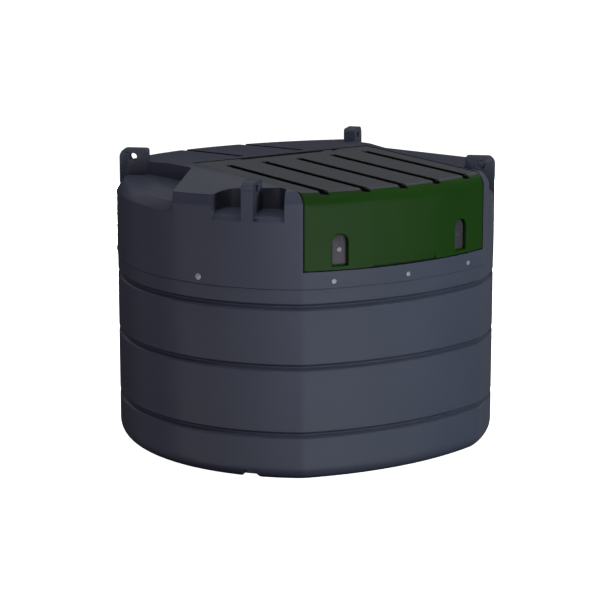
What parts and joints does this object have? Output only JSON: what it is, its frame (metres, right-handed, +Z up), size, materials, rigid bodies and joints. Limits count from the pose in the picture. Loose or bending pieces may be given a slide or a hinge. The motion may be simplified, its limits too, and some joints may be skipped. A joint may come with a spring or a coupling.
{
  "type": "vertical storage tank",
  "caption": "Round bunded plastic tank with grooved walls, a hinged slatted lid flush with its flattened front, and lifting lugs in recesses round its roof.",
  "frame": {"origin": "where the tank's upright axis meets the ground", "axes": "+Z up, -Y towards the flattened front with the lid's locks, +X to the right of it"},
  "size_m": [1.9982, 1.933, 1.516],
  "materials": {
    "tank_plastic": "moulded dark slate plastic with a fine grain",
    "lid_plastic": "moulded dark green plastic, dark grey on the slatted top",
    "inner_plastic": "moulded black plastic",
    "lock_plate": "grey painted plate",
    "zinc_steel": "zinc plated steel"
  },
  "bodies": {
    "tank": {"bund_base": "tank_plastic", "bund_wall_front": "tank_plastic", "bund_wall_left": "tank_plastic", "bund_wall_rear_left": "tank_plastic", "bund_wall_rear_right": "tank_plastic", "bund_wall_right": "tank_plastic", "cover_left": "tank_plastic", "cover_right": "tank_plastic", "cover_rear": "tank_plastic", "cover_front": "tank_plastic", "cabinet_floor": "inner_plastic", "lifting_lug_front_left": "tank_plastic", "lifting_lug_front_right": "tank_plastic", "lifting_lug_rear_left": "tank_plastic", "lifting_lug_rear_right": "tank_plastic", "hinge_block_left": "tank_plastic", "hinge_block_right": "tank_plastic", "filler_neck": "inner_plastic", "filler_cap": "inner_plastic"},
    "lid": {"lid_shell": "lid_plastic", "lock_plate_left": "lock_plate", "lock_plate_right": "lock_plate", "lock_barrel_left": "zinc_steel", "lock_barrel_right": "zinc_steel"}
  },
  "joints": [
    {"name": "lid_hinge", "type": "hinge", "parent": "tank", "child": "lid", "pos_m": [0, 0.224, 1.454], "axis": [-1, 0, 0], "range_deg": [0, 90]}
  ]
}
